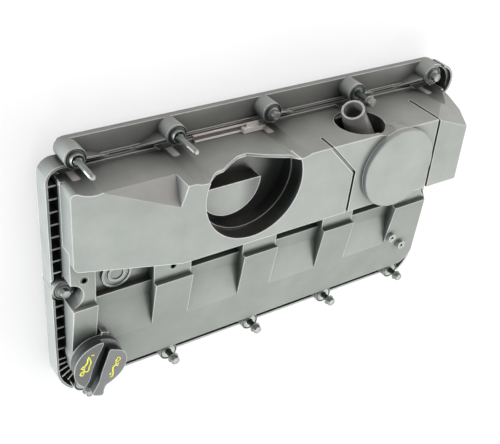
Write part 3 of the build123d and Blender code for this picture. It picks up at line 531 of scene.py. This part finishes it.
def new_piece(name, verts, faces, materials, face_materials=None):
    """A smooth-shaded mesh object from points in metres, with its materials."""
    mesh = bpy.data.meshes.new(name)
    mesh.from_pydata(verts, [], faces)
    for material in materials:
        mesh.materials.append(material)
    if face_materials:
        for face, index in zip(mesh.polygons, face_materials):
            face.material_index = index
    mesh.validate()
    mesh.update()
    piece = linked(name, mesh)
    shade_by_angle(piece)
    return piece


def shade_by_angle(piece):
    """Smooth shading that keeps the sharp edges."""
    mesh = piece.data
    for face in mesh.polygons:
        face.use_smooth = True
    work = bmesh.new()
    work.from_mesh(mesh)
    for edge in work.edges:
        sharp = len(edge.link_faces) != 2 or edge.calc_face_angle(0.0) > SMOOTH_ANGLE
        edge.smooth = not sharp
    work.to_mesh(mesh)
    work.free()


def turned(place, rings, sides, closed=False):
    """Points and faces round an upright axis. A ring is (z, radius or radius by angle)."""
    verts = []
    for z, radius in rings:
        for k in range(sides):
            angle = math.tau * k / sides
            r = radius(angle) if callable(radius) else radius
            verts.append(vec(place[0] + r * math.cos(angle), place[1] + r * math.sin(angle), z))
    faces = []
    count = len(rings)
    for i in range(count if closed else count - 1):
        j = (i + 1) % count
        for k in range(sides):
            m = (k + 1) % sides
            faces.append((i * sides + k, i * sides + m, j * sides + m, j * sides + k))
    if not closed:
        faces.append(tuple(reversed(range(sides))))
        faces.append(tuple((count - 1) * sides + k for k in range(sides)))
    return verts, faces


# ---------------------------------------------------------------- bolts and washers
def thread(low, high, root, crest):
    """Rings of a helical thread that runs out at both ends."""
    rings = []
    steps = round((high - low) / THREAD_PITCH * THREAD_STEPS)
    for i in range(steps + 1):
        z = low + (high - low) * i / steps
        fade = min(1.0, i / RUN_OUT_STEPS, (steps - i) / RUN_OUT_STEPS)

        def radius(angle, z=z, fade=fade):
            turn = (z / THREAD_PITCH - angle / math.tau) % 1.0
            depth = abs(2 * turn - 1)
            return crest - (crest - root) * fade * depth

        rings.append((z, radius))
    return rings


def hexagon(half, corner):
    """Radius by angle of a hexagon whose corners are cut by a circle."""
    def radius(angle):
        folded = (angle + HEX_TURN) % (math.pi / 3) - math.pi / 6
        return min(half / math.cos(folded), corner)
    return radius


# heights above the underside of the head, and radii
BOLT_HEAD = [(0.0, HEAD_FLANGE_R - 0.3), (0.3, HEAD_FLANGE_R), (0.9, HEAD_FLANGE_R),
             (1.3, HEAD_FLANGE_R - 0.3), (1.5, HEX_HALF + 0.75), (1.6, hexagon(HEX_HALF, 4.62)),
             (5.6, hexagon(HEX_HALF, 4.62)), (6.2, hexagon(HEX_HALF, 4.1)),
             (6.5, hexagon(HEX_HALF, 3.6)), (6.5, 3.1), (6.2, 2.8)]
STUD_HEAD = [(0.0, 5.9), (0.4, 6.2), (3.4, 6.0), (3.8, 5.7), (3.8, 5.3), (3.4, 5.0), (1.6, 4.9),
             (1.4, hexagon(STUD_HEX_HALF, 4.4)), (4.4, hexagon(STUD_HEX_HALF, 4.4)),
             (5.0, hexagon(STUD_HEX_HALF, 3.8)), (5.1, STUD_R + 0.5), (5.3, STUD_R)]
STUD_CUP = range(4, 10)
PLATED, DARK, BLACK = range(3)


def bolt_piece(name, place, seat_z, lift, stud_top_z=None):
    """A flanged hex bolt with a threaded shank, and a stud on its head where it has one."""
    head_z = seat_z + WASHER_T + lift + HEAD_GAP
    tip_z = lift - SHANK_BELOW
    shank = [(tip_z, SHANK_TIP_R), (tip_z + TIP_CHAMFER, SHANK_ROOT_R)]
    shank += thread(tip_z + THREAD_START, tip_z + THREAD_LENGTH, SHANK_ROOT_R, SHANK_R)
    shank += [(head_z - UNDER_HEAD, SHANK_R), (head_z, SHANK_R + UNDER_HEAD)]
    head = [(head_z + z, radius) for z, radius in (STUD_HEAD if stud_top_z else BOLT_HEAD)]
    stud = []
    dark_bands = set(range(len(shank) - 1))
    if stud_top_z:
        stud = thread(stud_top_z - STUD_THREAD, stud_top_z - THREAD_START, STUD_ROOT_R, STUD_R)
        stud += [(stud_top_z - STUD_CHAMFER, STUD_R - 0.1), (stud_top_z, STUD_TIP_R)]
        dark_bands.update(len(shank) + band for band in STUD_CUP)
    verts, faces = turned(place, shank + head + stud, SIDES)
    indices = [DARK if i // SIDES in dark_bands else PLATED for i in range(len(faces) - 2)]
    # the two end faces come last: the tip of the shank, then the top
    indices += [DARK, PLATED]
    piece = new_piece(f"{name}_turned", verts, faces, [STEEL, DARK_STEEL], indices)
    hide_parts(name)
    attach(piece, name)


for number, place in enumerate(LOWER_SEATS, start=1):
    bolt_piece(f"lower_bolt_{number}", place, LOWER_SEAT_Z, ROW_LIFT)
for number, place in enumerate(UPPER_SEATS[:2], start=1):
    bolt_piece(f"upper_stud_{number}", place, UPPER_SEAT_Z, 0, STUD_TOP_Z)
for number, lift in ((3, 0), (4, FREE_LIFT), (5, 0)):
    bolt_piece(f"upper_bolt_{number}", UPPER_SEATS[number - 1], UPPER_SEAT_Z, lift)
bolt_piece("left_bolt", LEFT_PLACE, UPPER_SEAT_Z, 0)
bolt_piece("right_bolt", RIGHT_PLACE, UPPER_SEAT_Z, 0)


def washer_set(seats):
    """Dished washers at (place, seat height, in light) with a black groove, and a dish painted
    dark as shade unless in light.
    """
    verts, faces, indices = [], [], []
    for place, seat_z, in_light in seats:
        rings = [(seat_z + z, r) for r, z in WASHER_PROFILE]
        ring_verts, ring_faces = turned(place, rings, SIDES, closed=True)
        shift = len(verts)
        verts += ring_verts
        faces += [tuple(corner + shift for corner in face) for face in ring_faces]
        # painted shade: the dish faces are dark steel on washers that are not in light
        for i in range(len(ring_faces)):
            band = i // SIDES
            if band in GROOVE_FACES:
                indices.append(BLACK)
            elif band in DISH_FACES and not in_light:
                indices.append(DARK)
            else:
                indices.append(PLATED)
    return new_piece("washers_dished", verts, faces, [STEEL, DARK_STEEL, RUBBER], indices)


washer_places = [(place, LOWER_SEAT_Z, True) for place in LOWER_SEATS]
# on the upper side only the washer at the left place is in light; the rest get the painted shade
washer_places += [(place, UPPER_SEAT_Z, place == LEFT_PLACE) for place in UPPER_SEATS]
washer_piece = washer_set(washer_places)
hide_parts("washers")
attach(washer_piece, "cover")


# ---------------------------------------------------------------- valve spring
def wound_wire():
    """Points and faces of the coil spring."""
    verts, faces = [], []
    count = SPRING_TURNS * SPRING_STEPS
    for i in range(count + 1):
        turn = math.tau * i / SPRING_STEPS
        z = SPRING_LOW_Z + (SPRING_HIGH_Z - SPRING_LOW_Z) * i / count
        for k in range(WIRE_SIDES):
            angle = math.tau * k / WIRE_SIDES
            r = SPRING_R + SPRING_WIRE_R * math.cos(angle)
            verts.append(vec(SPRING_PLACE[0] + r * math.cos(turn),
                             SPRING_PLACE[1] + r * math.sin(turn),
                             z + SPRING_WIRE_R * math.sin(angle)))
    for i in range(count):
        low, high = i * WIRE_SIDES, (i + 1) * WIRE_SIDES
        for k in range(WIRE_SIDES):
            m = (k + 1) % WIRE_SIDES
            faces.append((low + m, low + k, high + k, high + m))
    faces.append(tuple(range(WIRE_SIDES)))
    faces.append(tuple(reversed(range(count * WIRE_SIDES, (count + 1) * WIRE_SIDES))))
    return verts, faces


spring_piece = new_piece("pcv_spring_wound", *wound_wire(), [STEEL])
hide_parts("pcv_spring")
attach(spring_piece, "cover")
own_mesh(spring_piece)


# ---------------------------------------------------------------- filler cap
def on_cap(u, v, z):
    """Point of the cap from its place along and across the grip."""
    return vec(CAP_CENTRE[0] + u * ALONG[0] + v * ACROSS[0],
               CAP_CENTRE[1] + u * ALONG[1] + v * ACROSS[1], z)


def rounded_loop(points):
    """Closed Catmull-Rom loop; a point given twice stays a corner."""
    loop = []
    count = len(points)
    for i in range(count):
        p0, p1, p2, p3 = (Vector(points[(i + k) % count]) for k in (-1, 0, 1, 2))
        if (p2 - p1).length < SAME_POINT:
            continue
        for k in range(LOOP_STEPS):
            t = k / LOOP_STEPS
            loop.append(0.5 * ((2 * p1) + (p2 - p0) * t + (2 * p0 - 5 * p1 + 4 * p2 - p3) * t * t
                               + (3 * p1 - p0 - 3 * p2 + p3) * t ** 3))
    return loop


def prism(loop, low, high, draft=1.0):
    """Points and faces of an upright prism on the cap, whose foot is drawn in by a share."""
    n = len(loop)
    verts = [on_cap(point.x * scale, point.y * scale, z)
             for z, scale in ((low, draft), (high, 1.0)) for point in loop]
    faces = [(k, (k + 1) % n, n + (k + 1) % n, n + k) for k in range(n)]
    return verts, faces + [tuple(reversed(range(n))), tuple(n + k for k in range(n))]


def pad(outline, low, high, draft=1.0):
    """Points and faces of an upstanding pad with a rounded outline."""
    loop = rounded_loop(outline)
    if sum(loop[i - 1].cross(loop[i]) for i in range(len(loop))) < 0:
        loop.reverse()
    return prism(loop, low, high, draft)


def lug(low, high):
    """Bar across the plug with round ends, which locks in the neck."""
    loop = []
    for middle in (0, 180):
        for k in range(LUG_STEPS + 1):
            angle = math.radians(middle + LUG_HALF_ANGLE * (2 * k / LUG_STEPS - 1))
            loop.append(Vector((LUG_R * math.cos(angle), LUG_R * math.sin(angle))))
    return prism(loop, low, high)


def united(name, solids):
    """Mesh of the union of several closed solids."""
    made = []
    for i, (verts, faces) in enumerate(solids):
        mesh = bpy.data.meshes.new(f"{name}_{i}")
        mesh.from_pydata(verts, [], faces)
        made.append(linked(mesh.name, mesh))
    first = made[0]
    for other in made[1:]:
        union = first.modifiers.new("union", "BOOLEAN")
        union.operation = "UNION"
        union.solver = "EXACT"
        union.use_self = True
        union.object = other
    depsgraph = bpy.context.evaluated_depsgraph_get()
    mesh = bpy.data.meshes.new_from_object(first.evaluated_get(depsgraph))
    for used in made:
        bpy.data.objects.remove(used)
    return mesh


cap_solids = [turned(CAP_CENTRE, CAP_PROFILE, CAP_SIDES),
              pad(LEFT_PAD, CAP_DISC_Z - PAD_ROOT, CAP_GRIP_Z, PAD_DRAFT),
              pad(RIGHT_PAD, CAP_DISC_Z - PAD_ROOT, CAP_GRIP_Z, PAD_DRAFT),
              pad(TONGUE, TONGUE_LOW_Z, TONGUE_TOP_Z),
              lug(LUG_LOW_Z, LUG_TOP_Z)]
cap_mesh = united("cap", cap_solids)
cap_mesh.materials.clear()
cap_mesh.materials.append(CAP_PLASTIC)
cap_piece = linked("filler_cap_grip", cap_mesh)
shade_by_angle(cap_piece)
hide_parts("filler_cap")
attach(cap_piece, "oil_cap")


def printed_sign(name, lines):
    """Raised printed lines on the pads of the cap, as one mesh."""
    data = bpy.data.curves.new(name, "CURVE")
    data.dimensions = "3D"
    data.bevel_depth = STROKE_MM / 2 * MM
    data.bevel_resolution = 3
    data.use_fill_caps = True
    for closed, points in lines:
        spline = data.splines.new("POLY")
        spline.points.add(len(points) - 1)
        spline.use_cyclic_u = closed
        for target, (u, v) in zip(spline.points, points):
            target.co = (*on_cap(u, v, CAP_GRIP_Z - STROKE_MM * STROKE_SUNK), 1)
    drawn = linked(f"{name}_drawn", data)
    depsgraph = bpy.context.evaluated_depsgraph_get()
    mesh = bpy.data.meshes.new_from_object(drawn.evaluated_get(depsgraph))
    bpy.data.objects.remove(drawn)
    mesh.materials.clear()
    mesh.materials.append(INK)
    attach(linked(name, mesh), "oil_cap")


printed_sign("cap_mark_can", CAN_LINES)
printed_sign("cap_mark_turn", TURN_LINES)


# ---------------------------------------------------------------- stage
def stage_material(name, colour, own_light):
    """Pale surface that reads white to the camera and in reflections, and keeps shadows."""
    material, nodes, links, shader = new_material(name)
    shader.inputs["Base Color"].default_value = (*colour, 1)
    shader.inputs["Roughness"].default_value = 0.9
    shader.inputs["Specular IOR Level"].default_value = 0.1
    glow = node(nodes, "ShaderNodeEmission")
    glow.inputs["Color"].default_value = (1, 1, 1, 1)
    glow.inputs["Strength"].default_value = 1.0
    path = node(nodes, "ShaderNodeLightPath").outputs
    seen = maths(nodes, links, "MAXIMUM", path["Is Camera Ray"], path["Is Glossy Ray"])
    seen = maths(nodes, links, "MAXIMUM", seen, path["Is Transmission Ray"])
    blend = node(nodes, "ShaderNodeMixShader")
    links.new(maths(nodes, links, "MULTIPLY", seen, own_light), blend.inputs["Fac"])
    links.new(shader.outputs["BSDF"], blend.inputs[1])
    links.new(glow.outputs["Emission"], blend.inputs[2])
    links.new(blend.outputs["Shader"], nodes["Material Output"].inputs["Surface"])
    return material


def floor_cove():
    """Floor that rises into a round backdrop."""
    corners = [math.tau * k / COVE_SIDES for k in range(COVE_SIDES)]
    verts = [(r * math.cos(angle), r * math.sin(angle), z)
             for z, r in COVE_PROFILE for angle in corners]
    faces = [(i * COVE_SIDES + k, i * COVE_SIDES + (k + 1) % COVE_SIDES,
              (i + 1) * COVE_SIDES + (k + 1) % COVE_SIDES, (i + 1) * COVE_SIDES + k)
             for i in range(len(COVE_PROFILE) - 1) for k in range(COVE_SIDES)]
    faces.append(tuple(range(COVE_SIDES)))
    mesh = bpy.data.meshes.new("floor")
    mesh.from_pydata(verts, [], faces)
    for face in mesh.polygons:
        face.use_smooth = True
    mesh.materials.append(stage_material("floor white", FLOOR_COLOUR, FLOOR_GLOW))
    floor = linked("floor", mesh)
    floor.location = (0, 0, FLOOR_Z * MM)
    return floor


floor_cove()

world = bpy.data.worlds.new("studio")
bpy.context.scene.world = world
world.use_nodes = True
dim = world.node_tree.nodes["Background"]
dim.inputs["Color"].default_value = (*WORLD_COLOUR, 1)
dim.inputs["Strength"].default_value = WORLD_STRENGTH


def area_lamp(name, place, target, size, power, colour):
    """A soft rectangular lamp aimed at a point."""
    data = bpy.data.lights.new(name, "AREA")
    data.shape = "RECTANGLE"
    data.size, data.size_y = size
    data.energy = power
    data.color = colour
    lamp = linked(name, data)
    lamp.location = place
    direction = Vector(target) - Vector(place)
    lamp.rotation_euler = direction.to_track_quat("-Z", "Y").to_euler()


for lamp_values in LAMPS:
    area_lamp(*lamp_values)

# ---------------------------------------------------------------- camera
right = Vector(CAMERA_RIGHT)
up = -Vector(CAMERA_DOWN)
back = right.cross(up)
camera_data = bpy.data.cameras.new("camera")
camera_data.sensor_width = SENSOR_MM
camera_data.sensor_fit = "HORIZONTAL"
camera_data.lens = LENS_MM
camera_data.clip_start = NEAR_CLIP_M
camera = linked("camera", camera_data)
axes = Matrix((right, up, back)).transposed()
camera.matrix_world = Matrix.Translation(vec(*CAMERA_PLACE)) @ axes.to_4x4()
bpy.context.scene.camera = camera
bpy.context.scene.view_settings.view_transform = "Standard"
